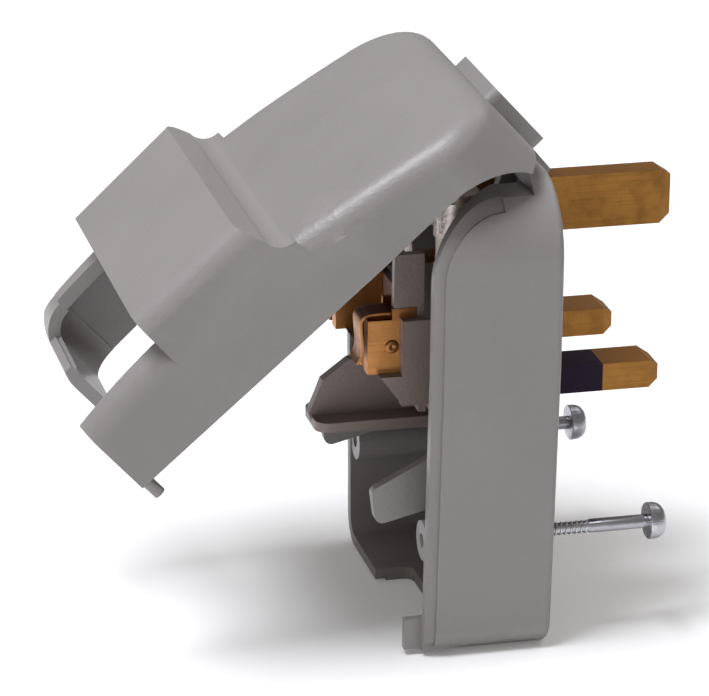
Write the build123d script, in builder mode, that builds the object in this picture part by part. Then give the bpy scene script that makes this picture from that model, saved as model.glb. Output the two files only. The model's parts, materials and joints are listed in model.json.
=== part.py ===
import os
from math import cos, radians, sin

from build123d import *

os.makedirs("parts", exist_ok=True)

# Plug adapter: a two-shell housing with three flat pins at the rear, a lid hinged at the top,
# and inside it two round-pin contacts, a fuse and the carrier that holds them. Millimetres.
# Frame: the rear face is x = 0 and the pins point along +X, y = 0 is the middle, and z = 0 is
# the centre line of the line and neutral pins, with the earth pin above it.

# Housing outline, seen along the pins
half_width = 25.2
foot_half_width = 22.9
taper_start_z = 6.0
top_z = 32.0
foot_z = -37.3
top_corner_r = 10.5
foot_corner_r = 4.5

# Base shell
base_depth = 18.5
wall = 1.9
rear_wall = 2.2
rear_edge_r = 0.8
lip_height = 1.6
lip_step = 0.35
hinge_arc_r = 10.6
hinge_arc_z = 19.5
top_ledge = 3.4
top_ledge_slope = 0.6
foot_cut_near_y = -18.6
foot_cut_far_y = 5.6
foot_cut_depth = 5.6
foot_cut_r = 1.5

# Lid shell, as it stands when closed; levels are measured from the rim of the base
lid_wall = 1.8
lid_gap = 0.3
lid_foot_z = -38.5
hinge_end_level = 5.9
middle_level = 9.6
root_level = 12.0
root_z = -2.6
foot_level = 12.6
hood_level = 19.1
hood_ridge_z = -4.2
hood_root_r = 3.0
hood_low_z = -22.8
side_edge_r = 3.6
hood_edge_r = 3.0
far_foot_r = 5.8
hood_floor = 1.3
window_near_y = -20.4
window_far_y = 17.6
foot_wall_level = 9.4
cable_slot_near_y = -20.4
cable_slot_far_y = 5.0
lid_extension_x = -12.0
open_angle = 47.6

# Hinge
pivot_x = -3.6
pivot_z = 22.3
trunnion_r = 1.4
trunnion_end_y = 10.9
pivot_clearance = 0.06
ear_r = 2.4
ear_inner_y = 5.4
ear_thickness = 2.0
ear_gap = 0.4
ear_front_x = -12.8
ear_tip = (-4.4, 31.8)
ear_rear_reach = (2.3, 0.6)
ear_throat_reach = (-1.8, -1.5)
bearing_thickness = 2.2
bearing_r = 3.2
bearing_sink = 0.8
ear_slot_x = -1.6
ear_slot_length = 6.4
ear_slot_side_gap = 0.35
ear_slot_low_gap = 0.3
tongue_half_width = 8.6
tongue_end_x = -8.5
tongue_root_x = -19.6
tongue_rise = 2.0
tongue_thickness = 2.25
tongue_corner_r = 1.6

# Pins
pin_pitch_y = 11.1
earth_pin_z = 22.2
earth_pin_width = 8.0
earth_pin_thickness = 4.0
earth_pin_length = 22.73
earth_tip_chamfer = 1.8
live_pin_width = 6.35
live_pin_thickness = 4.0
live_pin_length = 17.7
live_tip_chamfer = 1.5
tip_chamfer_share = 0.6
sleeve_length = 9.3
sleeve_wall = 0.6
pin_inner_x = -8.3
earth_inner_x = -6.4
pin_hole_gap = 0.03
flange_thickness = 1.3
flange_margin = 0.9

# Lid screws, drawn out as in the photograph
screw_y = 19.6
screw_z = -20.3
screw_r = 1.0
screw_clearance = 0.08
screw_length = 26.0
screw_head_r = 2.65
screw_head_height = 2.6
screw_head_gap = 0.3
screw_recess_depth = 3.2
screw_drawn = 18.0
boss_r = 2.9
boss_foot_r = 4.0
boss_foot_depth = 5.0
boss_reach = 18.3
lid_boss_gap = 0.6
lid_boss_end_level = 12.6
lid_hole_end_level = 11.3
drive_width = 0.8
drive_depth = 1.2

# Round-pin contacts
contact_y = 9.5
contact_x = -21.15
contact_half_x = 3.45
contact_half_y = 3.05
contact_bottom_z = 2.5
contact_top_z = 10.4
contact_wall = 0.6
contact_slot = 1.6
contact_seat_gap = 0.05
band_height = 1.6
leaf_gap = 0.6
leaf_thickness = 0.7
leaf_width = 4.4
rivet_r = 0.75
rivet_head = 0.3

# Contact carrier
carrier_half_width = 14.1
carrier_floor_z = -4.8
carrier_seat_z = -3.0
carrier_upright = 1.1
carrier_back_x = -15.8
carrier_wall = 1.4
carrier_bevel = 1.0
carrier_nose_x = -23.1
carrier_throat = (-19.8, -2.0)
carrier_gap = 0.1
cheek_front_x = -20.0
cheek_thickness = 1.5
cheek_top_z = 10.6
web_front_x = -20.9
web_top_z = 19.8
web_thickness = 1.4
entry_hole_r = 3.0
entry_hole_length = 12.0
barrier_thickness = 1.8
barrier_tip = (-30.3, -7.4)
barrier_shoulder = (-28.3, -2.4)
barrier_nose = (-29.2, -4.8)
barrier_top = (-24.4, 0.5)
barrier_bottom_z = -9.0
barrier_tip_bevel = 0.6
stop_half_width = 4.6
stop_thickness = 1.4
stop_end_x = -29.9
stop_corner_r = 2.0
barrier_pocket_depth = 0.9
barrier_pocket_gap = 0.3
barrier_pocket_height = 5.0

# Fuse, its clips and the links
fuse_r = 3.175
fuse_length = 25.4
fuse_cap_length = 6.4
fuse_cap_wall = 0.35
fuse_x = -12.3
fuse_y = -13.0
fuse_low_z = 3.6
clip_thickness = 0.7
clip_height = 4.6
clip_half_mouth = 2.0
clip_tail_offset = 1.0
link_thickness = 0.7
link_width = 4.0
link_foot_z = -1.6
link_rise = 0.6
neutral_link_offset = 0.5
line_link_width = 2.6
line_link_gap = 0.2

# Ribs that guide the visiting plug, and the details at the foot
guide_y = 15.4
guide_thickness = 1.7
guide_top_z = -7.0
guide_shoulder = (-16.3, -9.3)
guide_tip_top = (-24.8, -13.6)
guide_tip_bottom = (-24.1, -18.9)
guide_bottom = (-16.7, -17.1)
guide_tip_r = 1.2
peg_r = 0.9
peg_reach = 2.6
peg_root = 4.0
peg_gap = 0.5
peg_angle = 52.0
catch_height = 4.6
catch_thickness = 1.3
catch_reach = 2.4
catch_gap = 0.3

# Values worked out from the sizes above
rim_x = -base_depth
lid_rim_x = rim_x - lid_gap
inner_rear_x = -rear_wall
inner_top_z = top_z - wall
hinge_axis = Axis((pivot_x, 0, pivot_z), (0, 1, 0))
side_reach = half_width + 5
screw_hole_r = screw_r + screw_clearance
screw_recess_r = screw_head_r + screw_head_gap
contact_back_x = contact_x + contact_half_x
contact_front_x = contact_x - contact_half_x
neck_width = live_pin_width - 2 * sleeve_wall
neck_thickness = live_pin_thickness - 2 * sleeve_wall


def level_x(level):
    """The x of a level of the closed lid, measured from the rim of the base."""
    return rim_x - level


def housing_outline(x, inset, end_z=foot_z, end_r=foot_corner_r):
    """The housing's outline at x, moved inward by inset on every side, with its foot at end_z."""
    side = half_width - inset
    foot_side = foot_half_width - inset
    top = top_z - inset
    foot = end_z + inset
    with BuildSketch(Plane.YZ.offset(x)) as outline:
        with BuildLine():
            half = [(foot_side, foot), (side, taper_start_z), (side, top)]
            Polyline(*half, *[(-y, z) for y, z in reversed(half)], close=True)
        make_face()
        top_corners = outline.vertices().group_by(Axis.Y)[-1].filter_by(lambda v: abs(v.X) > 1)
        fillet(top_corners, top_corner_r - inset)
        if end_r > inset:
            foot_corners = outline.vertices().group_by(Axis.Y)[0].filter_by(lambda v: abs(v.X) > 1)
            fillet(foot_corners, end_r - inset)
    return outline.sketch


def low_lid_profile(inset):
    """The lid's side view without its hood, moved inward by inset."""
    top = top_z - inset
    foot = lid_foot_z + inset
    with BuildSketch(Plane.XZ.offset(-side_reach)) as profile:
        with BuildLine():
            hinge_end = (level_x(hinge_end_level - inset), top)
            middle = (level_x(middle_level - inset), (top_z + root_z) / 2)
            root = (level_x(root_level - inset), root_z + hood_root_r)
            foot_front = (level_x(foot_level - inset), foot)
            Spline(hinge_end, middle, root, foot_front)
            Polyline(foot_front, (lid_rim_x, foot), (lid_rim_x, top), hinge_end)
        make_face()
    return profile.sketch


def hood_profile(inset):
    """The hood's side view, moved inward by inset."""
    front = level_x(hood_level - inset)
    low = hood_low_z + hood_floor * (inset > 0)
    root_x = level_x(root_level)
    diagonal = (hood_root_r + inset) * cos(radians(45))
    root_start = (root_x + inset, root_z + hood_root_r)
    root_middle = (root_x - hood_root_r + diagonal, root_z + hood_root_r - diagonal)
    root_end = (root_x - hood_root_r, root_z - inset)
    with BuildSketch(Plane.XZ.offset(-side_reach)) as profile:
        with BuildLine():
            ThreePointArc(root_start, root_middle, root_end)
            Polyline(root_end, (front, hood_ridge_z - inset), (front, low), (lid_rim_x, low),
                     (lid_rim_x, root_z + hood_root_r), root_start)
        make_face()
    return profile.sketch


def corner_waste(plane, corner, inward, radius):
    """What a rounding of this radius takes off a square corner."""
    with BuildSketch(plane) as waste:
        with Locations(corner):
            Rectangle(2 * radius, 2 * radius)
        with Locations((corner[0] + 2 * radius * inward[0], corner[1] + 2 * radius * inward[1])):
            RectangleRounded(4 * radius, 4 * radius, radius, mode=Mode.SUBTRACT)
    return waste.sketch


def lid_form(inset):
    """The closed lid as a solid, moved inward by inset, without its hood."""
    radius = far_foot_r - inset
    foot = lid_foot_z + inset
    far_corner = (foot_half_width - inset, foot)
    front_corner = (level_x(foot_level - inset), foot)
    with BuildPart() as form:
        extrude(housing_outline(lid_rim_x, inset, lid_foot_z, 0), amount=-foot_level - 2)
        extrude(low_lid_profile(inset), amount=2 * side_reach, mode=Mode.INTERSECT)
        front = form.faces().sort_by(Axis.X)[0]
        foot_edge = front.edges().sort_by(Axis.Z)[0]
        fillet([edge for edge in front.edges() if edge != foot_edge], side_edge_r - inset)
        far_waste = corner_waste(Plane.YZ.offset(lid_rim_x + 1), far_corner, (-1, 1), radius)
        extrude(far_waste, amount=-hood_level, mode=Mode.SUBTRACT)
        front_waste = corner_waste(Plane.XZ, front_corner, (1, 1), radius)
        extrude(front_waste, amount=-side_reach, mode=Mode.SUBTRACT)
    return form.part


def hood_form(inset):
    """The closed lid's hood as a solid, moved inward by inset."""
    with BuildPart() as form:
        extrude(housing_outline(lid_rim_x, inset, lid_foot_z, 0), amount=-hood_level)
        extrude(hood_profile(inset), amount=2 * side_reach, mode=Mode.INTERSECT)
        front = form.faces().sort_by(Axis.X)[0]
        fillet(front.edges().filter_by(lambda e: abs(e.center().Y) > 15), max(hood_edge_r - inset, 0.2))
    return form.part


def lid_cheeks():
    """The part of the lid's wall that reaches back to the arc of the base."""
    middle_x = rim_x + hinge_arc_r
    radius = middle_x - lid_rim_x
    end_z = hinge_arc_z + (radius ** 2 - (lid_extension_x - middle_x) ** 2) ** 0.5
    with BuildSketch(Plane.XZ.offset(-side_reach)) as side:
        with BuildLine():
            RadiusArc((lid_rim_x, hinge_arc_z), (lid_extension_x, end_z), radius)
            Polyline((lid_extension_x, end_z), (lid_extension_x, top_z), (lid_rim_x, top_z),
                     (lid_rim_x, hinge_arc_z))
        make_face()
    side_block = extrude(side.sketch, amount=2 * side_reach, mode=Mode.PRIVATE)
    return side_block & housing_ring(lid_rim_x, 0, lid_wall, lid_extension_x - lid_rim_x)


def export(part, name):
    part.label = name
    export_step(part, f"parts/{name}.step")


def hinge_waste(radius):
    """What the base lacks outside an arc of this radius, between its rim and its hinge."""
    end_x = rim_x + hinge_arc_r
    end_z = hinge_arc_z + radius
    with BuildSketch(Plane.XZ.offset(-side_reach)) as waste:
        with BuildLine():
            RadiusArc((end_x - radius, hinge_arc_z), (end_x, end_z), radius)
            Polyline((end_x, end_z), (-top_ledge, end_z), (-top_ledge + top_ledge_slope, top_z + 1),
                     (rim_x - 1, top_z + 1), (rim_x - 1, hinge_arc_z), (end_x - radius, hinge_arc_z))
        make_face()
    return extrude(waste.sketch, amount=2 * side_reach, mode=Mode.PRIVATE)


def housing_ring(x, outer_inset, inner_inset, amount):
    """A band of the housing's wall, from x, between two insets."""
    outer = extrude(housing_outline(x, outer_inset), amount=amount, mode=Mode.PRIVATE)
    return outer - extrude(housing_outline(x, inner_inset), amount=amount, mode=Mode.PRIVATE)


def lip_waste():
    """The shallow step in the outer face of the base, beside its rim and its arc."""
    end_x = rim_x + hinge_arc_r
    lip_r = hinge_arc_r - lip_height
    with BuildSketch(Plane.XZ.offset(-side_reach)) as side:
        with BuildLine():
            RadiusArc((end_x - lip_r, hinge_arc_z), (end_x, hinge_arc_z + lip_r), lip_r)
            Polyline((end_x, hinge_arc_z + lip_r), (end_x, top_z + 1), (rim_x - 1, top_z + 1),
                     (rim_x - 1, foot_z - 1), (rim_x + lip_height, foot_z - 1),
                     (rim_x + lip_height, hinge_arc_z))
        make_face()
    side_block = extrude(side.sketch, amount=2 * side_reach, mode=Mode.PRIVATE)
    return housing_ring(rim_x, -1, lip_step, hinge_arc_r) & side_block


# Base shell: the rear wall, the side walls and everything moulded on them
with BuildPart() as base:
    extrude(housing_outline(0, 0), amount=-base_depth)
    fillet(base.faces().sort_by(Axis.X)[-1].edges(), rear_edge_r)
    extrude(housing_outline(inner_rear_x, wall), amount=-base_depth, mode=Mode.SUBTRACT)
    # the rim falls away in an arc towards the hinge, with a shallow step in the outer face beside it
    add(hinge_waste(hinge_arc_r), mode=Mode.SUBTRACT)
    add(lip_waste(), mode=Mode.SUBTRACT)
    # the cable leaves through a cut in the foot wall
    cut_middle_y = (foot_cut_near_y + foot_cut_far_y) / 2
    cut_width = foot_cut_far_y - foot_cut_near_y
    with BuildSketch(Plane.XY.offset(foot_z - 1)):
        with Locations((rim_x, cut_middle_y)):
            RectangleRounded(2 * foot_cut_depth, cut_width, foot_cut_r)
    extrude(amount=wall + 2, mode=Mode.SUBTRACT)
    # bearings for the lid's trunnions
    bearing_inner_y = ear_inner_y + ear_thickness + ear_gap
    for side in (-1, 1):
        middle_y = side * (bearing_inner_y + bearing_thickness / 2)
        with BuildSketch(Plane.XZ.offset(-middle_y)):
            with Locations((pivot_x, pivot_z)):
                Circle(bearing_r)
            with Locations(((pivot_x + inner_rear_x + bearing_sink) / 2, pivot_z)):
                Rectangle(inner_rear_x + bearing_sink - pivot_x, 2 * bearing_r)
        extrude(amount=bearing_thickness / 2, both=True)
    # bosses for the lid screws
    for side in (-1, 1):
        with BuildSketch(Plane.YZ.offset(inner_rear_x)):
            with Locations((side * screw_y, screw_z)):
                Circle(boss_foot_r)
        extrude(amount=-(boss_foot_depth + inner_rear_x))
        with BuildSketch(Plane.YZ.offset(inner_rear_x)):
            with Locations((side * screw_y, screw_z)):
                Circle(boss_r)
        extrude(amount=-(boss_reach + inner_rear_x))
    # a tab inside the near foot corner, which centres the lid
    catch_y = catch_gap + lid_wall - foot_half_width
    catch_z = foot_z + wall - 1
    with Locations((rim_x - catch_reach, catch_y, catch_z)):
        Box(2 * catch_reach, catch_thickness, catch_height, align=Align.MIN)
    with Locations((rim_x, catch_y - 1, catch_z)):
        Box(2 * catch_reach, catch_thickness + 1, catch_height, align=Align.MIN)
    # guide ribs
    for side in (-1, 1):
        with BuildSketch(Plane.XZ.offset(-side * guide_y)) as guide:
            with BuildLine():
                Polyline((inner_rear_x, guide_top_z), guide_shoulder, guide_tip_top, guide_tip_bottom,
                         guide_bottom, (inner_rear_x, guide_bottom[1]), close=True)
            make_face()
            fillet(guide.vertices().sort_by(Axis.X)[:2], guide_tip_r)
        extrude(amount=guide_thickness / 2, both=True)
    # slots that let the lid's ears turn
    slot_low_z = pivot_z - ear_r - ear_slot_low_gap
    slot_high_z = top_z + 2
    for side in (-1, 1):
        middle_y = side * (ear_inner_y + ear_thickness / 2)
        with Locations((ear_slot_x, middle_y, (slot_low_z + slot_high_z) / 2)):
            Box(ear_slot_length, ear_thickness + 2 * ear_slot_side_gap, slot_high_z - slot_low_z,
                mode=Mode.SUBTRACT)
    # holes for the trunnions
    with Locations(Location((pivot_x, 0, pivot_z), (90, 0, 0))):
        Cylinder(trunnion_r + pivot_clearance, 2 * (trunnion_end_y + 0.5), mode=Mode.SUBTRACT)
    # holes for the lid screws, with a recess for each head
    with Locations(Plane.YZ):
        for side in (-1, 1):
            with Locations((side * screw_y, screw_z, 0)):
                CounterBoreHole(screw_hole_r, screw_recess_r, screw_recess_depth, depth=boss_reach + 1)
    # holes for the pins
    hole_extra = 2 * pin_hole_gap
    with BuildSketch(Plane.YZ.offset(1)):
        with Locations((0, earth_pin_z)):
            Rectangle(earth_pin_thickness + hole_extra, earth_pin_width + hole_extra)
        with Locations((-pin_pitch_y, 0), (pin_pitch_y, 0)):
            Rectangle(live_pin_width + hole_extra, live_pin_thickness + hole_extra)
    extrude(amount=-(rear_wall + 2), mode=Mode.SUBTRACT)
export(base.part, "base_shell")

# Lid shell, drawn closed and then swung open
with BuildPart() as lid:
    add(lid_form(0))
    add(hood_form(0))
    add(lid_form(lid_wall), mode=Mode.SUBTRACT)
    add(hood_form(lid_wall), mode=Mode.SUBTRACT)
    # the window below the hood, through its underside and the front of the foot
    window_top_z = hood_low_z + hood_floor
    window_foot_z = lid_foot_z + lid_wall
    window_back_x = level_x(foot_level - lid_wall - 2)
    window_front_x = level_x(hood_level - lid_wall)
    window_width = window_far_y - window_near_y
    with BuildSketch(Plane.YZ.offset(window_back_x)):
        with Locations(((window_near_y + window_far_y) / 2, (window_top_z + window_foot_z) / 2)):
            Rectangle(window_width, window_top_z - window_foot_z)
    extrude(amount=window_front_x - window_back_x, mode=Mode.SUBTRACT)
    # the foot wall is lower between the side strips, and cut away at its rim for the cable
    with BuildSketch(Plane.YZ.offset(level_x(foot_wall_level))):
        with Locations(((window_near_y + window_far_y) / 2, lid_foot_z)):
            Rectangle(window_width, 2 * lid_wall + 2)
    extrude(amount=-foot_level, mode=Mode.SUBTRACT)
    with BuildSketch(Plane.YZ.offset(lid_rim_x + 1)):
        with Locations(((cable_slot_near_y + cable_slot_far_y) / 2, lid_foot_z)):
            Rectangle(cable_slot_far_y - cable_slot_near_y, 2 * lid_wall + 2)
    extrude(amount=-(foot_level + 3), mode=Mode.SUBTRACT)
    # near the hinge the walls reach back to the arc of the base
    add(lid_cheeks())
    # a pocket that clears the barrier between the contacts
    with Locations((level_x(root_level - lid_wall), 0, barrier_shoulder[1])):
        Box(2 * barrier_pocket_depth, barrier_thickness + 2 * barrier_pocket_gap, barrier_pocket_height,
            mode=Mode.SUBTRACT)
    # a peg at the near foot corner, which passes outside the rounded corner of the base
    peg_distance = foot_corner_r + peg_gap + peg_r
    peg_y = foot_corner_r - foot_half_width - peg_distance * cos(radians(peg_angle))
    peg_z = foot_z + foot_corner_r - peg_distance * sin(radians(peg_angle))
    with BuildSketch(Plane.YZ.offset(lid_rim_x - peg_root)):
        with Locations((peg_y, peg_z)):
            Circle(peg_r)
    extrude(amount=peg_root + peg_reach)
    # bosses that the screws run into
    lid_boss_x = -boss_reach - lid_boss_gap
    for side in (-1, 1):
        with BuildSketch(Plane.YZ.offset(lid_boss_x)):
            with Locations((side * screw_y, screw_z)):
                Circle(boss_r)
        extrude(amount=level_x(lid_boss_end_level) - lid_boss_x)
    for side in (-1, 1):
        with BuildSketch(Plane.YZ.offset(lid_boss_x)):
            with Locations((side * screw_y, screw_z)):
                Circle(screw_hole_r)
        extrude(amount=level_x(lid_hole_end_level) - lid_boss_x, mode=Mode.SUBTRACT)
    # the tongue over the hinge
    tongue_z = top_z + tongue_rise - tongue_thickness
    with BuildSketch(Plane.XY.offset(tongue_z)) as tongue:
        with Locations(((tongue_end_x + tongue_root_x) / 2, 0)):
            Rectangle(tongue_end_x - tongue_root_x, 2 * tongue_half_width)
        fillet(tongue.vertices(), tongue_corner_r)
    extrude(amount=tongue_thickness)
    # ears under the tongue, turning on two trunnions
    ear_rear = (pivot_x + ear_rear_reach[0], pivot_z + ear_rear_reach[1])
    ear_throat = (pivot_x + ear_throat_reach[0], pivot_z + ear_throat_reach[1])
    for side in (-1, 1):
        with BuildSketch(Plane.XZ.offset(-side * (ear_inner_y + ear_thickness / 2))):
            with BuildLine():
                Polyline((ear_front_x, tongue_z + 0.4), ear_tip, ear_rear, (pivot_x, pivot_z), ear_throat,
                         close=True)
            make_face()
            with Locations((pivot_x, pivot_z)):
                Circle(ear_r)
        extrude(amount=ear_thickness / 2, both=True)
        with BuildSketch(Plane.XZ.offset(-side * ear_inner_y)):
            with Locations((pivot_x, pivot_z)):
                Circle(trunnion_r)
        extrude(amount=-side * (trunnion_end_y - ear_inner_y))
export(lid.part.rotate(hinge_axis, open_angle), "lid_shell")

# Pins, with a neck under each sleeve and a flange behind the rear wall
with BuildPart() as earth_pin:
    with BuildSketch(Plane.YZ.offset(earth_inner_x)):
        with Locations((0, earth_pin_z)):
            Rectangle(earth_pin_thickness, earth_pin_width)
    extrude(amount=earth_pin_length - earth_inner_x)
    earth_tip_edges = earth_pin.faces().sort_by(Axis.X)[-1].edges()
    chamfer(earth_tip_edges, earth_tip_chamfer, earth_tip_chamfer * tip_chamfer_share)
    with BuildSketch(Plane.YZ.offset(inner_rear_x)):
        with Locations((0, earth_pin_z)):
            Rectangle(earth_pin_thickness + 2 * flange_margin, earth_pin_width + 2 * flange_margin)
    extrude(amount=-flange_thickness)
export(earth_pin.part, "earth_pin")

for name, side in (("line", -1), ("neutral", 1)):
    with BuildPart() as live_pin:
        with BuildSketch(Plane.YZ.offset(pin_inner_x)):
            with Locations((side * pin_pitch_y, 0)):
                Rectangle(live_pin_width, live_pin_thickness)
        extrude(amount=live_pin_length - pin_inner_x)
        live_tip_edges = live_pin.faces().sort_by(Axis.X)[-1].edges()
        chamfer(live_tip_edges, live_tip_chamfer, live_tip_chamfer * tip_chamfer_share)
        with BuildSketch(Plane.YZ.offset(inner_rear_x)):
            with Locations((side * pin_pitch_y, 0)):
                Rectangle(live_pin_width + 2, live_pin_thickness + 2)
                Rectangle(neck_width, neck_thickness, mode=Mode.SUBTRACT)
        extrude(amount=sleeve_length - inner_rear_x, mode=Mode.SUBTRACT)
        with BuildSketch(Plane.YZ.offset(inner_rear_x)):
            with Locations((side * pin_pitch_y, 0)):
                Rectangle(live_pin_width + 2 * flange_margin, live_pin_thickness + 2 * flange_margin)
        extrude(amount=-flange_thickness)
    export(live_pin.part, f"{name}_pin")
    with BuildPart() as sleeve:
        with BuildSketch(Plane.YZ.offset(inner_rear_x)):
            with Locations((side * pin_pitch_y, 0)):
                Rectangle(live_pin_width, live_pin_thickness)
                Rectangle(neck_width, neck_thickness, mode=Mode.SUBTRACT)
        extrude(amount=sleeve_length - inner_rear_x)
    export(sleeve.part, f"{name}_sleeve")

# Lid screws
for name, side in (("near", -1), ("far", 1)):
    with BuildPart() as screw:
        head_back_x = -screw_recess_depth + screw_drawn
        with BuildSketch(Plane.YZ.offset(head_back_x)):
            with Locations((side * screw_y, screw_z)):
                Circle(screw_r)
        extrude(amount=-screw_length)
        chamfer(screw.faces().sort_by(Axis.X)[0].edges(), screw_r / 2)
        with BuildSketch(Plane.YZ.offset(head_back_x)):
            with Locations((side * screw_y, screw_z)):
                Circle(screw_head_r)
        extrude(amount=screw_head_height)
        fillet(screw.faces().sort_by(Axis.X)[-1].edges(), screw_head_height / 4)
        with BuildSketch(Plane.YZ.offset(head_back_x + screw_head_height)):
            with Locations((side * screw_y, screw_z)):
                Rectangle(drive_width, 2 * screw_head_r + 1)
        extrude(amount=-drive_depth, mode=Mode.SUBTRACT)
    export(screw.part, f"lid_screw_{name}")

# Contacts for the visiting plug's round pins, each with a spring leaf and a rivet
for name, side in (("line", -1), ("neutral", 1)):
    inner_half_x = contact_half_x - contact_wall
    inner_half_y = contact_half_y - contact_wall
    with BuildPart() as contact:
        with BuildSketch(Plane.XY.offset(contact_bottom_z)) as ring:
            with Locations((contact_x, side * contact_y)):
                Rectangle(2 * contact_half_x, 2 * contact_half_y)
                Rectangle(2 * inner_half_x, 2 * inner_half_y, mode=Mode.SUBTRACT)
            with Locations((contact_front_x, side * contact_y)):
                Rectangle(3 * contact_wall, contact_slot, mode=Mode.SUBTRACT)
        extrude(amount=contact_top_z - contact_bottom_z)
        with BuildSketch(Plane.XY.offset(contact_top_z)):
            with Locations((contact_back_x - contact_half_x / 2, side * contact_y)):
                Rectangle(contact_half_x, 2 * contact_half_y)
            with Locations((contact_back_x - contact_half_x / 2 - contact_wall, side * contact_y)):
                Rectangle(contact_half_x, 2 * inner_half_y, mode=Mode.SUBTRACT)
        extrude(amount=band_height)
        rivet_z = (contact_bottom_z + contact_top_z) / 2
        with Locations(Location((contact_x, side * contact_y, rivet_z), (90, 0, 0))):
            with Locations((0, 0, -side * contact_half_y)):
                Cylinder(rivet_r + pin_hole_gap, 3 * contact_wall, mode=Mode.SUBTRACT)
    export(contact.part, f"{name}_contact")
    with BuildPart() as spring:
        leaf_x = contact_front_x - leaf_gap - leaf_thickness
        with BuildSketch(Plane.XZ.offset(-side * contact_y)):
            with BuildLine() as path:
                Polyline((leaf_x + leaf_thickness / 2, contact_bottom_z + 1),
                         (leaf_x + leaf_thickness / 2, contact_top_z + leaf_thickness / 2),
                         (contact_x - contact_wall, contact_top_z + leaf_thickness / 2))
            trace(path.line, leaf_thickness)
        extrude(amount=leaf_width / 2, both=True)
    export(spring.part, f"{name}_spring")
    with BuildPart() as rivet:
        with BuildSketch(Plane.XZ.offset(-side * (contact_y + inner_half_y))):
            with Locations((contact_x, rivet_z)):
                Circle(rivet_r)
        extrude(amount=-side * (contact_wall + rivet_head))
    export(rivet.part, f"{name}_rivet")

# Contact carrier, seated on the rear wall
with BuildPart() as carrier:
    floor_z = contact_bottom_z - contact_seat_gap
    with BuildSketch(Plane.XZ):
        with BuildLine():
            Polyline((carrier_nose_x, floor_z), carrier_throat, (carrier_back_x, carrier_throat[1]),
                     (carrier_back_x + carrier_bevel, carrier_floor_z), (inner_rear_x, carrier_floor_z),
                     (inner_rear_x, carrier_seat_z), (carrier_back_x + carrier_wall, carrier_seat_z),
                     (carrier_back_x + carrier_wall, floor_z), close=True)
        make_face()
    extrude(amount=carrier_half_width, both=True)
    # the upright behind the contacts
    upright_x = contact_back_x + carrier_gap
    with Locations((upright_x, 0, carrier_seat_z)):
        Box(carrier_upright, 2 * carrier_half_width, cheek_top_z - carrier_seat_z,
            align=(Align.MIN, Align.CENTER, Align.MIN))
    for side in (-1, 1):
        # cheeks outside the contacts and webs above them
        cheek_y = side * (carrier_half_width - cheek_thickness / 2)
        with Locations((cheek_front_x, cheek_y, carrier_throat[1])):
            Box(carrier_back_x - cheek_front_x, cheek_thickness, cheek_top_z - carrier_throat[1],
                align=(Align.MIN, Align.CENTER, Align.MIN))
        web_y = side * (contact_y + contact_half_y - web_thickness / 2)
        web_foot_z = contact_top_z + band_height
        with Locations((web_front_x, web_y, web_foot_z + carrier_gap)):
            Box(contact_back_x + carrier_upright - web_front_x, web_thickness, web_top_z - web_foot_z,
                align=(Align.MIN, Align.CENTER, Align.MIN))
        with Locations((upright_x, web_y, cheek_top_z - 1)):
            Box(carrier_upright - carrier_gap, web_thickness, web_top_z - cheek_top_z + 1,
                align=(Align.MIN, Align.CENTER, Align.MIN))
        # entry holes for the visiting plug's pins
        with Locations((contact_x, side * contact_y, 0)):
            Cylinder(entry_hole_r, entry_hole_length, mode=Mode.SUBTRACT)
    # the barrier between the two contacts
    with BuildSketch(Plane.XZ):
        with BuildLine():
            Polyline(barrier_tip, barrier_nose, barrier_shoulder, barrier_top,
                     (carrier_back_x, barrier_top[1]), (inner_rear_x, carrier_floor_z + 1),
                     (inner_rear_x, barrier_bottom_z),
                     (barrier_tip[0] + barrier_tip_bevel, barrier_bottom_z), close=True)
        make_face()
    extrude(amount=barrier_thickness / 2, both=True)
    # the shelf along its lower edge, which the visiting plug comes up against
    with BuildSketch(Plane.XY.offset(barrier_bottom_z)) as shelf:
        with Locations(((stop_end_x + inner_rear_x) / 2, 0)):
            Rectangle(inner_rear_x - stop_end_x, 2 * stop_half_width)
        fillet(shelf.vertices().group_by(Axis.X)[0], stop_corner_r)
    extrude(amount=stop_thickness)
export(carrier.part, "contact_carrier")

# Fuse and its clips
fuse_top_z = fuse_low_z + fuse_length
with BuildPart() as fuse:
    with BuildSketch(Plane.XY.offset(fuse_low_z + fuse_cap_wall)):
        with Locations((fuse_x, fuse_y)):
            Circle(fuse_r - fuse_cap_wall)
    extrude(amount=fuse_length - 2 * fuse_cap_wall)
export(fuse.part, "fuse_body")

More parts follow.
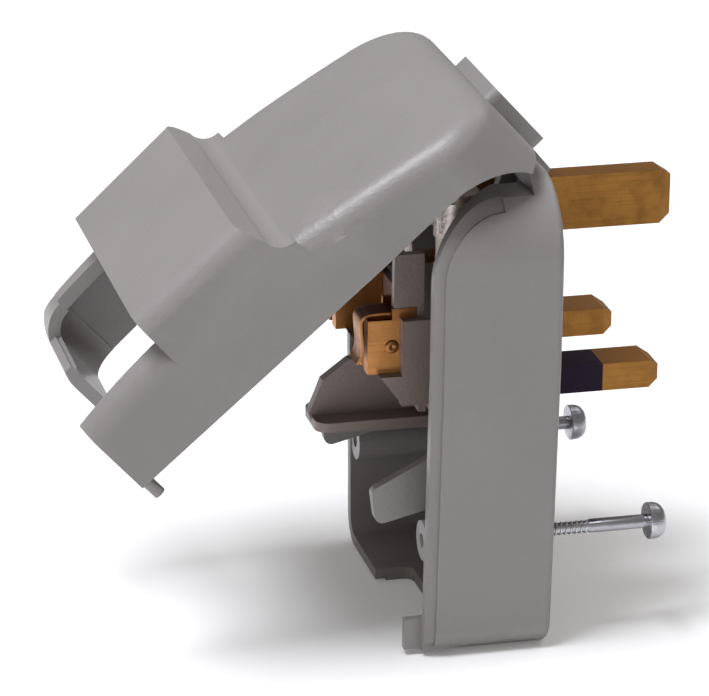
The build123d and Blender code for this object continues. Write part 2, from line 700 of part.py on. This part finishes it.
for name, end_z, direction in (("lower", fuse_low_z, 1), ("upper", fuse_top_z, -1)):
    with BuildPart() as cap:
        with BuildSketch(Plane.XY.offset(end_z)):
            with Locations((fuse_x, fuse_y)):
                Circle(fuse_r)
        extrude(amount=direction * fuse_cap_length)
        with BuildSketch(Plane.XY.offset(end_z + direction * fuse_cap_wall)):
            with Locations((fuse_x, fuse_y)):
                Circle(fuse_r - fuse_cap_wall)
        extrude(amount=direction * fuse_cap_length, mode=Mode.SUBTRACT)
    export(cap.part, f"fuse_cap_{name}")
    clip_middle_z = end_z + direction * fuse_cap_length / 2
    with BuildPart() as clip:
        with BuildSketch(Plane.XY.offset(clip_middle_z - clip_height / 2)):
            with Locations((fuse_x, fuse_y)):
                Circle(fuse_r + clip_thickness)
                Circle(fuse_r, mode=Mode.SUBTRACT)
            with Locations((fuse_x - fuse_r, fuse_y)):
                Rectangle(2 * fuse_r, 2 * clip_half_mouth, mode=Mode.SUBTRACT)
        extrude(amount=clip_height)
        if name == "lower":
            tail_top_z = clip_middle_z + clip_height / 2
            with Locations((pin_inner_x - clip_thickness, -pin_pitch_y - clip_tail_offset, link_foot_z)):
                Box(clip_thickness, link_width, tail_top_z - link_foot_z,
                    align=(Align.MIN, Align.CENTER, Align.MIN))
    export(clip.part, f"fuse_clip_{name}")

# Links between the upper clip and the line contact, and between the neutral pin and its contact
with BuildPart() as line_link:
    link_inner_y = fuse_y + fuse_r + clip_thickness
    with BuildSketch(Plane.XZ.offset(-link_inner_y)):
        with BuildLine() as path:
            link_x = contact_back_x + link_thickness / 2
            Polyline((link_x, cheek_top_z + line_link_gap), (link_x, clip_middle_z), (fuse_x, clip_middle_z))
        trace(path.line, link_thickness)
    extrude(amount=-line_link_width)
export(line_link.part, "line_link")

with BuildPart() as neutral_link:
    link_x = pin_inner_x - link_thickness / 2
    link_z = contact_top_z + band_height / 2 + link_rise
    with BuildSketch(Plane.XZ.offset(neutral_link_offset - contact_y)):
        with BuildLine() as path:
            Polyline((link_x, link_foot_z), (link_x, link_z), (contact_back_x, link_z))
        trace(path.line, link_thickness)
    extrude(amount=link_width / 2, both=True)
export(neutral_link.part, "neutral_link")
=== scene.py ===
import json
import math

import bmesh
import bpy
from mathutils import Matrix, Vector, noise


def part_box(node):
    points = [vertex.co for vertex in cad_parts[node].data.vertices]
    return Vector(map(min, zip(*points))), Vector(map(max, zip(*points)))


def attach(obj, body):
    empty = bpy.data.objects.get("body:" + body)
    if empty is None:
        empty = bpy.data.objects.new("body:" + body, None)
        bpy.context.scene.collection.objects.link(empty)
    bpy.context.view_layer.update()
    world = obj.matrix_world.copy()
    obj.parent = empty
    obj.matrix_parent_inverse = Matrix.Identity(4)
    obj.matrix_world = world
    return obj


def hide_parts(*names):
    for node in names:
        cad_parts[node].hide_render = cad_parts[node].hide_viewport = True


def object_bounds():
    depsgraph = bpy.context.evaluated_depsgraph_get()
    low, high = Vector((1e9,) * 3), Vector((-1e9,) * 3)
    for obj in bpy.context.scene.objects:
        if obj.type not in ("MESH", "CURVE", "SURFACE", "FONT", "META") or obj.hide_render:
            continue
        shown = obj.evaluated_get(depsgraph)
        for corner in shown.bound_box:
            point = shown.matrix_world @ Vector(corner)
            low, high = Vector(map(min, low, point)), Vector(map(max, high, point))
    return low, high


mm = 0.001

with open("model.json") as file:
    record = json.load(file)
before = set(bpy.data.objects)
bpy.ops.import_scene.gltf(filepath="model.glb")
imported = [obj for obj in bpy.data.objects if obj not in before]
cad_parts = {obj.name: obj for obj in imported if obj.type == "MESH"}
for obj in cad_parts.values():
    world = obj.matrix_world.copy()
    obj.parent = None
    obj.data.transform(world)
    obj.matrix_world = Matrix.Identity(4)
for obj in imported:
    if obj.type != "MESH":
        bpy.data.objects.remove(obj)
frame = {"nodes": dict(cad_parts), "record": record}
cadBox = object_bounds()
nodes = frame["nodes"]
print("frame loaded:", len(nodes), "nodes")


# A Wire holds the output socket of a node, so that nodes are joined by plain sums
class Wire:

    def __init__(self, tree, socket):
        self.tree = tree
        self.socket = socket

    def node(self, kind, inputs=None, output=0, **settings):
        made = self.tree.nodes.new(kind)
        for key, value in settings.items():
            setattr(made, key, value)
        for key, value in (inputs or {}).items():
            plug(self.tree, value, made.inputs[key])
        return Wire(self.tree, made.outputs[output])

    def maths(self, operation, other):
        return self.node("ShaderNodeMath", {0: self, 1: other}, operation=operation)

    def __add__(self, other):
        return self.maths("ADD", other)

    __radd__ = __add__

    def __sub__(self, other):
        return self.maths("SUBTRACT", other)

    def __mul__(self, other):
        return self.maths("MULTIPLY", other)

    def ramp(self, low, high):
        return self.node("ShaderNodeMapRange", {0: self, 1: low, 2: high}, clamp=True)


def plug(tree, value, socket):
    if isinstance(value, Wire):
        tree.links.new(value.socket, socket)
    else:
        socket.default_value = value


def newMaterial(name):
    material = bpy.data.materials.new(name)
    material.use_nodes = True
    tree = material.node_tree
    shader = next(n for n in tree.nodes if n.type == "BSDF_PRINCIPLED")
    place = tree.nodes.new("ShaderNodeTexCoord")
    return material, shader, Wire(tree, place.outputs["Object"])


# A colour Mix has its factor in input 0, its colours in inputs 6 and 7 and its result in output 2
def colorMix(wire, factor, first, second):
    made = wire.tree.nodes.new("ShaderNodeMix")
    made.data_type = "RGBA"
    plug(wire.tree, factor, made.inputs[0])
    plug(wire.tree, first if isinstance(first, Wire) else (*first, 1.0), made.inputs[6])
    plug(wire.tree, second if isinstance(second, Wire) else (*second, 1.0), made.inputs[7])
    return Wire(wire.tree, made.outputs[2])


def shade(color, factor):
    return tuple(min(1.0, c * factor) for c in color)


def noiseAt(place, scale, detail, roughness):
    return place.node("ShaderNodeTexNoise", {
        "Vector": place, "Scale": scale, "Detail": detail, "Roughness": roughness})


# Where an edge is sharp enough to take a painted highlight
edgeHighlightRamp = (0.52, 0.62)


def paintedEdgeHighlight(place):
    return place.node("ShaderNodeNewGeometry", output="Pointiness").ramp(*edgeHighlightRamp)


housingLook = {
    "color": (0.262, 0.247, 0.243), "roughness": 0.4, "grain": 0.00012, "fleck": 0.05, "gloss": 0.5,
}
carrierLook = {
    "color": (0.25, 0.20, 0.185), "roughness": 0.42, "grain": 0.00015, "fleck": 0.04, "gloss": 0.4,
}
sleeveLook = {
    "color": (0.010, 0.003, 0.018), "roughness": 0.7, "grain": 0.0001, "fleck": 0.1, "gloss": 0.2,
}
ceramicLook = {
    "color": (0.70, 0.66, 0.58), "roughness": 0.35, "grain": 0.0002, "fleck": 0.03, "gloss": 0.5,
}

# What the plastics and the ceramic share; each noise is its scale, detail and roughness
mouldLook = {
    "grainNoise": (1500.0, 3.0, 0.6), "cloudNoise": (45.0, 3.0, 0.55), "flowNoise": (9.0, 1.0, 0.4),
    "cloudRamp": (0.35, 0.65), "cloudTones": (0.965, 1.035),
    "fleckRamp": (0.55, 0.75), "fleckTone": 0.5,
    "edgeMix": 0.3, "edgeTone": 1.25,
    "cloudRoughness": 0.14, "flowRoughness": 0.1, "edgeRoughness": 0.1,
    "grainStrength": 0.55,
}


def mouldedPlastic(name, look):
    finish = mouldLook
    material, shader, place = newMaterial(name)
    tree = place.tree
    grain = noiseAt(place, *finish["grainNoise"])
    cloud = noiseAt(place, *finish["cloudNoise"])
    flow = noiseAt(place, *finish["flowNoise"])
    edge = paintedEdgeHighlight(place)
    dark, light = (shade(look["color"], tone) for tone in finish["cloudTones"])
    color = colorMix(place, cloud.ramp(*finish["cloudRamp"]), dark, light)
    fleck = grain.ramp(*finish["fleckRamp"]) * look["fleck"]
    color = colorMix(place, fleck, color, shade(look["color"], finish["fleckTone"]))
    # painted highlight: sharp edges lighter and glossier
    color = colorMix(place, edge * finish["edgeMix"], color, shade(look["color"], finish["edgeTone"]))
    plug(tree, color, shader.inputs["Base Color"])
    uneven = (cloud - 0.5) * finish["cloudRoughness"] + (flow - 0.5) * finish["flowRoughness"]
    plug(tree, look["roughness"] + uneven - edge * finish["edgeRoughness"], shader.inputs["Roughness"])
    shader.inputs["Specular IOR Level"].default_value = look["gloss"]
    bump = place.node("ShaderNodeBump", {
        "Height": grain, "Distance": look["grain"], "Strength": finish["grainStrength"]})
    plug(tree, bump, shader.inputs["Normal"])
    return material


brassLook = {
    "color": (0.30, 0.145, 0.036), "dullAndShade": (0.115, 0.042, 0.018), "roughness": 0.46, "brush": 0.00025,
}
zincLook = {"color": (0.50, 0.50, 0.53), "dullAndShade": (0.30, 0.29, 0.32), "roughness": 0.2, "brush": 0.0002}
tinLook = {"color": (0.50, 0.45, 0.42), "dullAndShade": (0.24, 0.12, 0.09), "roughness": 0.24, "brush": 0.0003}

# The contacts are painted darker above a set height, given below in millimetres: painted shade for the
# shadow inside their open tops
copperLook = {
    "color": (0.46, 0.215, 0.072), "dullAndShade": (0.15, 0.04, 0.018), "roughness": 0.3, "brush": 0.0003,
    "shadeFrom": 10.0, "topShade": (0.10, 0.018, 0.010),
}

# What the metals share: brush lines along the pins, dull spots and clouds, and painted shade that darkens
# the upper faces
metalLook = {
    "brushStretch": (90.0, 2600.0, 2600.0), "brushNoise": (1.0, 3.0, 0.5),
    "spotNoise": (320.0, 5.0, 0.7), "cloudNoise": (70.0, 3.0, 0.6),
    "spotRamp": (0.44, 0.66), "spotMix": 0.6,
    "cloudRamp": (0.4, 0.7), "cloudMix": 0.4,
    "upperShadeRamp": (0.3, 0.9), "upperShadeMix": 0.85,
    "shadeWobble": 0.0012, "shadeFade": 0.7, "shadeMix": 0.85,
    "brushRamp": (0.35, 0.8), "brushMix": 0.2, "brushTone": 0.7,
    "edgeMix": 0.6, "edgeTone": 1.5,
    "brushRoughness": 0.1, "roughRamp": (0.4, 0.7), "spotRoughness": 0.14,
    "spotHeight": 0.6, "brushStrength": 0.3,
}


def brushedMetal(name, look):
    finish = metalLook
    material, shader, place = newMaterial(name)
    tree = place.tree
    stretched = place.node("ShaderNodeMapping", {"Vector": place, "Scale": finish["brushStretch"]})
    lines = noiseAt(stretched, *finish["brushNoise"])
    spots = noiseAt(place, *finish["spotNoise"])
    cloud = noiseAt(place, *finish["cloudNoise"])
    normal = place.node("ShaderNodeTexCoord", output="Normal")
    upper = place.node("ShaderNodeSeparateXYZ", {"Vector": normal}, output="Z")
    color = colorMix(place, spots.ramp(*finish["spotRamp"]) * finish["spotMix"], look["color"], look["dullAndShade"])
    color = colorMix(place, cloud.ramp(*finish["cloudRamp"]) * finish["cloudMix"], color, look["dullAndShade"])
    # painted shade: faces that turn upwards are darkened towards the dull colour
    color = colorMix(place, upper.ramp(*finish["upperShadeRamp"]) * finish["upperShadeMix"], color, look["dullAndShade"])
    # painted shade: the contacts darken above a set height, standing for the shadow inside their open tops
    if "shadeFrom" in look:
        height = place.node("ShaderNodeSeparateXYZ", {"Vector": place}, output="Z")
        height = height + (cloud - 0.5) * finish["shadeWobble"]
        topShade = height.ramp(look["shadeFrom"] * mm, (look["shadeFrom"] + finish["shadeFade"]) * mm)
        color = colorMix(place, topShade * finish["shadeMix"], color, look["topShade"])
    brush = lines.ramp(*finish["brushRamp"]) * finish["brushMix"]
    color = colorMix(place, brush, color, shade(look["color"], finish["brushTone"]))
    # painted highlight: sharp edges lighter
    edge = paintedEdgeHighlight(place) * finish["edgeMix"]
    color = colorMix(place, edge, color, shade(look["color"], finish["edgeTone"]))
    plug(tree, color, shader.inputs["Base Color"])
    shader.inputs["Metallic"].default_value = 1.0
    rough = look["roughness"] + lines * finish["brushRoughness"]
    rough = rough + spots.ramp(*finish["roughRamp"]) * finish["spotRoughness"]
    plug(tree, rough, shader.inputs["Roughness"])
    height = lines + spots * finish["spotHeight"]
    bump = place.node("ShaderNodeBump", {
        "Height": height, "Distance": look["brush"], "Strength": finish["brushStrength"]})
    plug(tree, bump, shader.inputs["Normal"])
    return material


def addMaterials():
    bySlot = {
        "housing_plastic": mouldedPlastic("housing plastic", housingLook),
        "carrier_plastic": mouldedPlastic("carrier plastic", carrierLook),
        "sleeve_plastic": mouldedPlastic("sleeve plastic", sleeveLook),
        "fuse_ceramic": mouldedPlastic("fuse ceramic", ceramicLook),
        "pin_brass": brushedMetal("pin brass", brassLook),
        "contact_copper": brushedMetal("contact copper", copperLook),
        "screw_zinc": brushedMetal("screw zinc", zincLook),
        "fuse_metal": brushedMetal("fuse metal", tinLook),
    }
    for entry in frame["record"]["subparts"]:
        piece = nodes[entry["node"]]
        piece.data.materials.clear()
        piece.data.materials.append(bySlot[entry["material_slot"]])
    print("materials:", len(bySlot))
    return bySlot


# Softened edges of the CAD pieces that stay as they are; widths in millimetres
edgeLook = {
    "widths": {
        "base_shell": 0.16, "lid_shell": 0.16, "contact_carrier": 0.14, "earth_pin": 0.18,
        "line_pin": 0.16, "neutral_pin": 0.16, "line_sleeve": 0.1, "neutral_sleeve": 0.1,
        "line_contact": 0.1, "neutral_contact": 0.1,
    },
    "segments": 2, "angleDeg": 42.0,
}


def softenEdges():
    for name, width in edgeLook["widths"].items():
        soft = nodes[name].modifiers.new("soft edges", "BEVEL")
        soft.width = width * mm
        soft.segments = edgeLook["segments"]
        soft.limit_method = "ANGLE"
        soft.angle_limit = math.radians(edgeLook["angleDeg"])
        soft.use_clamp_overlap = True
        soft.harden_normals = True
    print("softened:", len(edgeLook["widths"]))


def meshPiece(name, vertices, faces, material):
    mesh = bpy.data.meshes.new(name)
    mesh.from_pydata(vertices, [], faces)
    mesh.materials.append(material)
    piece = bpy.data.objects.new(name, mesh)
    bpy.context.scene.collection.objects.link(piece)
    return piece


def finishPiece(piece, body, node):
    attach(piece, body)
    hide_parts(node)


# Turns a piece with its modifiers into one plain mesh
def bake(piece):
    graph = bpy.context.evaluated_depsgraph_get()
    mesh = bpy.data.meshes.new_from_object(piece.evaluated_get(graph))
    piece.modifiers.clear()
    piece.data = mesh


def shadeByAngle(piece, degrees):
    bm = bmesh.new()
    bm.from_mesh(piece.data)
    bmesh.ops.recalc_face_normals(bm, faces=bm.faces)
    for face in bm.faces:
        face.smooth = True
    for edge in bm.edges:
        edge.smooth = len(edge.link_faces) == 2 and edge.calc_face_angle(0) < math.radians(degrees)
    bm.to_mesh(piece.data)
    bm.free()


turnedLook = {"sides": 48, "smoothDeg": 40.0}


# A piece turned about the x axis from a profile of (x, radius) in millimetres
def turned(name, profile, material):
    sides = turnedLook["sides"]
    vertices = []
    rings = []
    for x, radius in profile:
        if radius == 0:
            rings.append([len(vertices)])
            vertices.append(Vector((x, 0, 0)) * mm)
            continue
        rings.append(list(range(len(vertices), len(vertices) + sides)))
        for step in range(sides):
            angle = 2 * math.pi * step / sides
            vertices.append(Vector((x, radius * math.cos(angle), radius * math.sin(angle))) * mm)
    faces = []
    for first, second in zip(rings, rings[1:]):
        for step in range(sides):
            after = (step + 1) % sides
            corners = [first[step % len(first)], first[after % len(first)],
                       second[after % len(second)], second[step % len(second)]]
            faces.append(tuple(dict.fromkeys(corners)))
    piece = meshPiece(name, vertices, faces, material)
    shadeByAngle(piece, turnedLook["smoothDeg"])
    return piece


# The lid screws: a pan head with a slot, a plain neck and a thread down to the tip, in millimetres
screwLook = {
    "headHeight": 2.6, "headRise": 0.7, "headEdge": 0.12, "domePower": 0.55, "domeSteps": 12,
    "neckLength": 8.5, "neckTaper": 0.25, "coreRadius": 0.82, "crestRadius": 1.0,
    "pitch": 0.75, "threadFrom": 0.6, "threadSteps": 20, "threadSides": 4,
    "tipLength": 1.6, "tipShare": 0.45, "slotWidth": 0.8, "slotDepth": 1.1,
}


# Geometry Nodes: a ridge wound round the screw's core, joined to the screw
def threadTree(material):
    tree = bpy.data.node_groups.new("screw thread", "GeometryNodeTree")
    face = tree.interface
    face.new_socket("Geometry", in_out="INPUT", socket_type="NodeSocketGeometry")
    for name in ("Turns", "Length", "Core radius", "Ridge", "Start"):
        face.new_socket(name, in_out="INPUT", socket_type="NodeSocketFloat")
    face.new_socket("Geometry", in_out="OUTPUT", socket_type="NodeSocketGeometry")
    entry = tree.nodes.new("NodeGroupInput")
    screw, turns, length, core, ridge, start = (Wire(tree, entry.outputs[i]) for i in range(6))
    helix = screw.node("GeometryNodeCurveSpiral", {
        "Resolution": screwLook["threadSteps"], "Rotations": turns, "Start Radius": core,
        "End Radius": core, "Height": length})
    section = screw.node("GeometryNodeCurvePrimitiveCircle", {
        "Resolution": screwLook["threadSides"], "Radius": ridge}, mode="RADIUS")
    ridges = screw.node("GeometryNodeCurveToMesh", {0: helix, "Profile Curve": section, "Fill Caps": True})
    aside = screw.node("ShaderNodeCombineXYZ", {"X": start})
    laid = screw.node("GeometryNodeTransform", {
        "Geometry": ridges, "Translation": aside, "Rotation": (0.0, math.radians(90), 0.0)})
    joined = tree.nodes.new("GeometryNodeJoinGeometry")
    tree.links.new(laid.socket, joined.inputs[0])
    tree.links.new(screw.socket, joined.inputs[0])
    plain = screw.node("GeometryNodeRealizeInstances", {0: Wire(tree, joined.outputs[0])})
    done = screw.node("GeometryNodeSetMaterial", {"Geometry": plain, "Material": material})
    exitNode = tree.nodes.new("NodeGroupOutput")
    tree.links.new(done.socket, exitNode.inputs[0])
    return tree


def screwProfile(tip, neckEnd, headBack, top, headRadius):
    look = screwLook
    core = look["coreRadius"]
    crest = look["crestRadius"]
    domeFoot = headBack + look["headRise"]
    profile = [
        (tip, 0.0), (tip, core * look["tipShare"]), (tip + look["tipLength"], core),
        (neckEnd - look["neckTaper"], core), (neckEnd, crest), (headBack, crest),
        (headBack, headRadius - look["headEdge"]), (headBack + look["headEdge"], headRadius),
        (domeFoot, headRadius),
    ]
    for step in range(1, look["domeSteps"]):
        angle = math.radians(90 * step / look["domeSteps"])
        rise = (look["headHeight"] - look["headRise"]) * math.sin(angle)
        profile.append((domeFoot + rise, headRadius * math.cos(angle) ** look["domePower"]))
    profile.append((top, 0.0))
    return profile


def cutSlot(piece, top, headRadius):
    bpy.ops.mesh.primitive_cube_add(size=1)
    cutter = bpy.context.object
    cutter.scale = Vector((2 * screwLook["slotDepth"], screwLook["slotWidth"], 3 * headRadius)) * mm
    cutter.location = Vector((top, 0, 0)) * mm
    cut = piece.modifiers.new("slot", "BOOLEAN")
    cut.object = cutter
    cut.operation = "DIFFERENCE"
    bake(piece)
    bpy.data.objects.remove(cutter)


def windThread(piece, tree, tip, neckEnd):
    look = screwLook
    start = tip + look["tipLength"] * look["threadFrom"]
    length = neckEnd - start
    values = {
        "Turns": length / look["pitch"],
        "Length": length * mm,
        "Core radius": look["coreRadius"] * mm,
        "Ridge": (look["crestRadius"] - look["coreRadius"]) * mm,
        "Start": start * mm,
    }
    coil = piece.modifiers.new("thread", "NODES")
    coil.node_group = tree
    for item in tree.interface.items_tree:
        if item.in_out == "INPUT" and item.name in values:
            coil[item.identifier] = values[item.name]
    bake(piece)


def addScrews(material):
    tree = threadTree(material)
    for side in ("near", "far"):
        node = "lid_screw_" + side
        low, high = (tuple(v / mm for v in corner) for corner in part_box(node))
        tip, top = low[0], high[0]
        headRadius = (high[1] - low[1]) / 2
        headBack = top - screwLook["headHeight"]
        neckEnd = headBack - screwLook["neckLength"]
        profile = screwProfile(tip, neckEnd, headBack, top, headRadius)
        piece = turned("pan_screw_" + side, profile, material)
        cutSlot(piece, top, headRadius)
        windThread(piece, tree, tip, neckEnd)
        middle = Vector((0, (low[1] + high[1]) / 2, (low[2] + high[2]) / 2))
        piece.data.transform(Matrix.Translation(middle * mm))
        finishPiece(piece, "screw_" + side, node)
    print("screws: 2, faces each:", len(piece.data.polygons))


stripLook = {"curveSteps": 6, "widthSteps": 8, "smoothDeg": 50.0}


# A point of the smooth curve from b to c, where a comes before b and d after c
def curvePoint(a, b, c, d, t):
    return 0.5 * (2 * b + (c - a) * t + (2 * a - 5 * b + 4 * c - d) * t ** 2
                  + (3 * b - a - 3 * c + d) * t ** 3)


# A strip of sheet metal along a path of (x, z), from y = low to y = high, in millimetres
def strip(name, path, low, high, thickness, material):
    steps = stripLook["curveSteps"]
    dense = []
    for around in zip([path[0]] + path, path, path[1:], path[2:] + [path[-1]]):
        for step in range(steps):
            dense.append([curvePoint(*ends, step / steps) for ends in zip(*around)])
    dense.append(list(path[-1]))
    vertices = []
    widthSteps = stripLook["widthSteps"]
    for index, point in enumerate(dense):
        before = Vector(dense[max(index - 1, 0)])
        after = Vector(dense[min(index + 1, len(dense) - 1)])
        along = (after - before).normalized()
        across = Vector((-along[1], along[0])) * thickness / 2
        for sign in (1, -1):
            for step in range(widthSteps + 1):
                y = low + (high - low) * step / widthSteps
                vertices.append(Vector((point[0] + sign * across[0], y, point[1] + sign * across[1])) * mm)
    row = 2 * (widthSteps + 1)
    loop = list(range(widthSteps + 1)) + list(range(row - 1, widthSteps, -1))
    faces = []
    for index in range(len(dense) - 1):
        here = index * row
        there = here + row
        for first, second in zip(loop, loop[1:] + loop[:1]):
            faces.append((here + first, here + second, there + second, there + first))
    faces.append(tuple(loop))
    faces.append(tuple((len(dense) - 1) * row + i for i in reversed(loop)))
    piece = meshPiece(name, vertices, faces, material)
    shadeByAngle(piece, stripLook["smoothDeg"])
    return piece


# The spring leaf in front of each contact, in millimetres: its path in x and z is measured from the
# middle of the contact, drop below the top of the leaf
springLook = {
    "path": [(0.9, 0.2), (-0.6, 0.25), (-2.6, 0.2), (-3.75, -0.1), (-4.2, -0.9), (-4.15, -2.4),
             (-3.95, -4.6), (-4.15, -6.0), (-4.75, -7.0)],
    "drop": 0.35, "thickness": 0.32, "width": 4.2,
}


def addSprings(material):
    half = springLook["width"] / 2
    for side in ("line", "neutral"):
        low, high = (Vector(corner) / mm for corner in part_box(side + "_contact"))
        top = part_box(side + "_spring")[1][2] / mm
        middleX = (low[0] + high[0]) / 2
        middleY = (low[1] + high[1]) / 2
        path = [(middleX + x, top - springLook["drop"] + z) for x, z in springLook["path"]]
        piece = strip(side + "_spring_leaf", path, middleY - half, middleY + half,
                      springLook["thickness"], material)
        finishPiece(piece, "base", side + "_spring")
    print("springs: 2")


# The rivet in each contact, in millimetres: a domed head with a dimple
rivetLook = {
    "headRadius": 1.05, "headHeight": 0.42, "domeSteps": 8, "domeTaper": 0.55,
    "dimpleRadius": 0.3, "dimpleRim": 0.55, "dimpleFloor": 0.45,
}


def addRivets(material):
    look = rivetLook
    steps = look["domeSteps"]
    for side, outward in (("line", -1), ("neutral", 1)):
        low, high = (Vector(corner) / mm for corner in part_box(side + "_rivet"))
        shank = (high[0] - low[0]) / 2
        seat = (high[1] - low[1]) - look["headHeight"]
        profile = [(0.0, 0.0), (0.0, shank), (seat, shank), (seat, look["headRadius"])]
        for step in range(1, steps + 1):
            angle = math.radians(90 * step / steps)
            radius = look["headRadius"] * (1 - look["domeTaper"] * (1 - math.cos(angle)))
            profile.append((seat + look["headHeight"] * math.sin(angle), radius))
        profile.append((seat + look["headHeight"] * look["dimpleRim"], look["dimpleRadius"]))
        profile.append((seat + look["headHeight"] * look["dimpleFloor"], 0.0))
        piece = turned(side + "_rivet_head", profile, material)
        inner = low[1] if outward > 0 else high[1]
        place = Vector(((low[0] + high[0]) / 2, inner, (low[2] + high[2]) / 2)) * mm
        piece.data.transform(Matrix.Translation(place) @ Matrix.Rotation(outward * math.pi / 2, 4, "Z"))
        finishPiece(piece, "base", side + "_rivet")
    print("rivets: 2")


# The strap from the fuse to the line contact, in millimetres, crumpled where it was bent by hand;
# it bends over a corner that starts bendDrop below its top and ends bendReach from its back
strapLook = {
    "thickness": 0.4, "bendDrop": 1.2, "bendReach": 1.4, "sideGap": 0.1,
    "wrinkle": 0.42, "wrinkleScale": 1500.0, "wrinkleShares": (1.0, 0.5, 0.5), "wrinkleSeed": 7,
}


def addStrap(material):
    look = strapLook
    low, high = (Vector(corner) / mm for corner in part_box("line_link"))
    half = look["thickness"] / 2
    back = low[0] + half
    path = [(back, low[2]), (back, (low[2] + high[2]) / 2), (back, high[2] - look["bendDrop"]),
            (low[0] + look["bendReach"], high[2] - half), (high[0], high[2] - half)]
    piece = strip("line_strap", path, low[1] + look["sideGap"], high[1], look["thickness"], material)
    noise.seed_set(look["wrinkleSeed"])
    for vertex in piece.data.vertices:
        shift = noise.noise_vector(vertex.co * look["wrinkleScale"]) * look["wrinkle"] * mm
        vertex.co += Vector(v * share for v, share in zip(shift, look["wrinkleShares"]))
    finishPiece(piece, "base", "line_link")
    print("strap: 1")


# The camera, placed by its angle about the adapter and its distance from the rear face's middle
cameraLook = {
    "azimuthDeg": -13.986, "elevationDeg": 20.437, "rollDeg": 0.554,
    "rightMm": -22.708, "upMm": -0.005, "distanceMm": 600.0,
    "lensMm": 211.25, "sensorMm": 36.0, "clipStartM": 0.01,
}


def addCamera():
    azimuth = math.radians(cameraLook["azimuthDeg"])
    elevation = math.radians(cameraLook["elevationDeg"])
    roll = math.radians(cameraLook["rollDeg"])
    flat = math.cos(elevation)
    back = Vector((math.sin(azimuth) * flat, -math.cos(azimuth) * flat, math.sin(elevation)))
    level = Vector((math.cos(azimuth), math.sin(azimuth), 0))
    upright = back.cross(level)
    right = level * math.cos(roll) + upright * math.sin(roll)
    up = upright * math.cos(roll) - level * math.sin(roll)
    place = (right * cameraLook["rightMm"] + up * cameraLook["upMm"] + back * cameraLook["distanceMm"]) * mm
    data = bpy.data.cameras.new("camera")
    data.lens = cameraLook["lensMm"]
    data.sensor_width = cameraLook["sensorMm"]
    data.sensor_fit = "HORIZONTAL"
    data.clip_start = cameraLook["clipStartM"]
    camera = bpy.data.objects.new("camera", data)
    turn = Matrix((right, up, back)).transposed().to_4x4()
    camera.matrix_world = Matrix.Translation(place) @ turn
    bpy.context.scene.collection.objects.link(camera)
    bpy.context.scene.camera = camera
    print("camera at", [round(v, 3) for v in place])


# White paper under the part; lift brings its shaded parts up for the camera alone
floorLook = {"sizeM": 2.4, "color": (0.95, 0.95, 0.955), "roughness": 0.9, "lift": 0.12}


def addFloor():
    half = floorLook["sizeM"] / 2
    height = cadBox[0][2]
    mesh = bpy.data.meshes.new("floor")
    corners = [(-half, -half, height), (half, -half, height), (half, half, height), (-half, half, height)]
    mesh.from_pydata(corners, [], [(0, 1, 2, 3)])
    floor = bpy.data.objects.new("floor", mesh)
    bpy.context.scene.collection.objects.link(floor)
    material, shader, place = newMaterial("floor paper")
    shader.inputs["Base Color"].default_value = (*floorLook["color"], 1.0)
    shader.inputs["Roughness"].default_value = floorLook["roughness"]
    shader.inputs["Emission Strength"].default_value = 1.0
    seen = place.node("ShaderNodeLightPath", output="Is Camera Ray")
    lift = (floorLook["lift"],) * 3
    plug(place.tree, colorMix(place, seen, (0.0, 0.0, 0.0), lift), shader.inputs["Emission Color"])
    mesh.materials.append(material)
    print("floor at", round(height, 4))


lampAim = (-0.02, 0.0, 0.0)
lampLooks = [
    {"name": "key", "place": (-0.45, -0.12, 1.05), "size": 0.5, "power": 13.5, "color": (0.94, 0.955, 1.0)},
    {"name": "fill", "place": (-0.35, -1.05, 0.25), "size": 0.6, "power": 0.35, "color": (1.0, 0.95, 0.9)},
    {"name": "rim", "place": (0.5, 0.35, 0.75), "size": 0.5, "power": 1.0, "color": (1.0, 1.0, 1.0)},
]

# The world lights the part softly, and is plain white to the camera
worldLook = {"color": (1.0, 0.965, 0.93), "strength": 0.3, "backdrop": (1.0, 1.0, 1.0)}


def addLights():
    for light in lampLooks:
        data = bpy.data.lights.new(light["name"], "AREA")
        data.size = light["size"]
        data.energy = light["power"]
        data.color = light["color"]
        lamp = bpy.data.objects.new(light["name"], data)
        lamp.location = light["place"]
        toAim = Vector(lampAim) - Vector(light["place"])
        lamp.rotation_euler = toAim.to_track_quat("-Z", "Y").to_euler()
        bpy.context.scene.collection.objects.link(lamp)
    world = bpy.data.worlds.new("studio")
    bpy.context.scene.world = world
    world.use_nodes = True
    tree = world.node_tree
    background = next(n for n in tree.nodes if n.type == "BACKGROUND")
    rays = tree.nodes.new("ShaderNodeLightPath")
    seen = Wire(tree, rays.outputs["Is Camera Ray"])
    plug(tree, colorMix(seen, seen, worldLook["color"], worldLook["backdrop"]), background.inputs["Color"])
    plug(tree, seen * (1.0 - worldLook["strength"]) + worldLook["strength"], background.inputs["Strength"])
    bpy.context.scene.view_settings.view_transform = "Standard"
    print("lights:", len(lampLooks))


bySlot = addMaterials()
softenEdges()
addScrews(bySlot["screw_zinc"])
addSprings(bySlot["contact_copper"])
addRivets(bySlot["contact_copper"])
addStrap(bySlot["fuse_metal"])
addCamera()
addFloor()
addLights()
